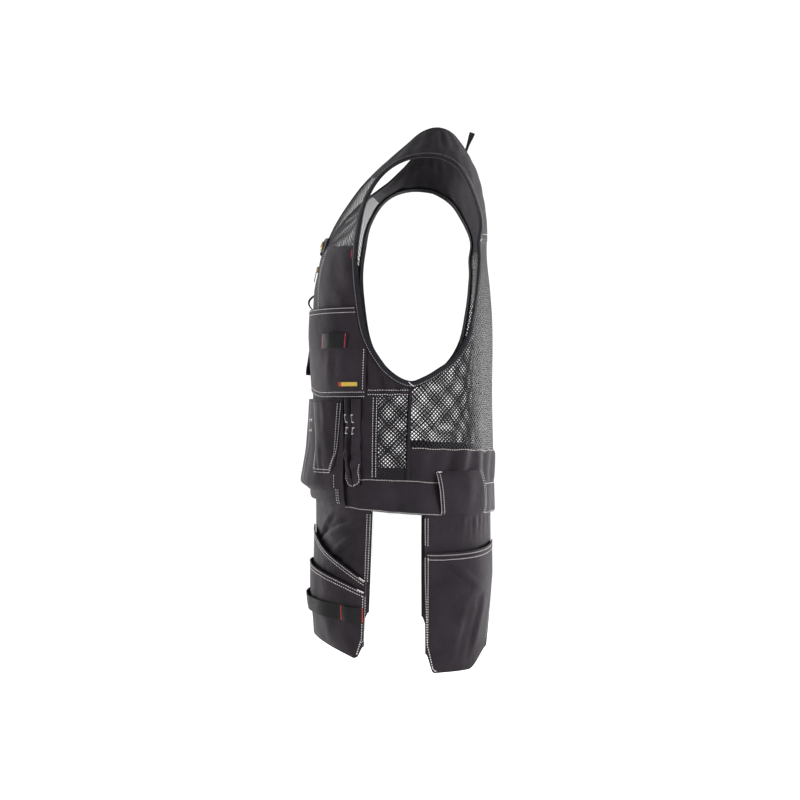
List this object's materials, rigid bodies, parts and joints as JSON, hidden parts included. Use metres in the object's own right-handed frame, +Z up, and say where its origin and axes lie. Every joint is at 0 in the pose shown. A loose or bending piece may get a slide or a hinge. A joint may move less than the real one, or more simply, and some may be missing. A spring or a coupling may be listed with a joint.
{
  "type": "utility work vest",
  "caption": "Sleeveless work vest of twill and net with chest and nail pockets, and holster pockets hanging from its hem.",
  "frame": {"origin": "between the shoulders, level with the top of the two shoulder straps, where the vest sits when worn", "axes": "+Z up, the front of the vest faces -Y, the wearer's left is +X"},
  "size_m": [0.368, 0.3059, 0.8314],
  "materials": {
    "twill": "matt charcoal twill, lightly creased",
    "net": "black polyester net with round holes",
    "binding_tape": "ribbed black tape",
    "webbing": "woven black webbing",
    "zip": "black zip tape with moulded teeth",
    "brass": "antique brass, brushed",
    "label": "plain woven tag"
  },
  "bodies": {
    "root": {"shoulder_yoke": "twill", "front_net_L": "net", "front_net_R": "net", "chest_panel_L": "twill", "chest_panel_R": "twill", "lower_front_L": "twill", "lower_front_R": "twill", "side_net_L": "net", "side_net_R": "net", "back_net": "net", "waist_panel": "twill", "hem_band": "twill", "armhole_binding_L": "binding_tape", "armhole_binding_R": "binding_tape", "neck_binding": "binding_tape", "side_tape_L": "binding_tape", "side_tape_R": "binding_tape", "front_zip": "zip", "zip_slider": "brass", "chest_pocket_L": "twill", "chest_pocket_R": "twill", "chest_webbing": "webbing", "chest_label": "label", "chest_flap_R": "twill", "under_pocket_L": "twill", "under_pocket_R": "twill", "nail_pocket_L": "twill", "nail_pocket_R": "twill", "phone_pocket_L": "twill", "phone_pocket_R": "twill", "tool_tubes_L": "twill", "tool_tubes_R": "twill", "front_holster_L": "twill", "front_holster_R": "twill", "holster_upper_pocket_L": "twill", "holster_upper_pocket_R": "twill", "holster_lower_pocket_L": "twill", "holster_lower_pocket_R": "twill", "holster_webbing_L": "webbing", "holster_webbing_R": "webbing", "back_holster_L": "twill", "back_holster_R": "twill", "back_holster_pocket_L": "twill", "back_holster_pocket_R": "twill", "belt_loop_L": "twill", "belt_loop_R": "twill", "snap_tab": "binding_tape", "snap_button": "brass", "hang_loop": "binding_tape", "front_loop": "binding_tape"}
  },
  "joints": []
}
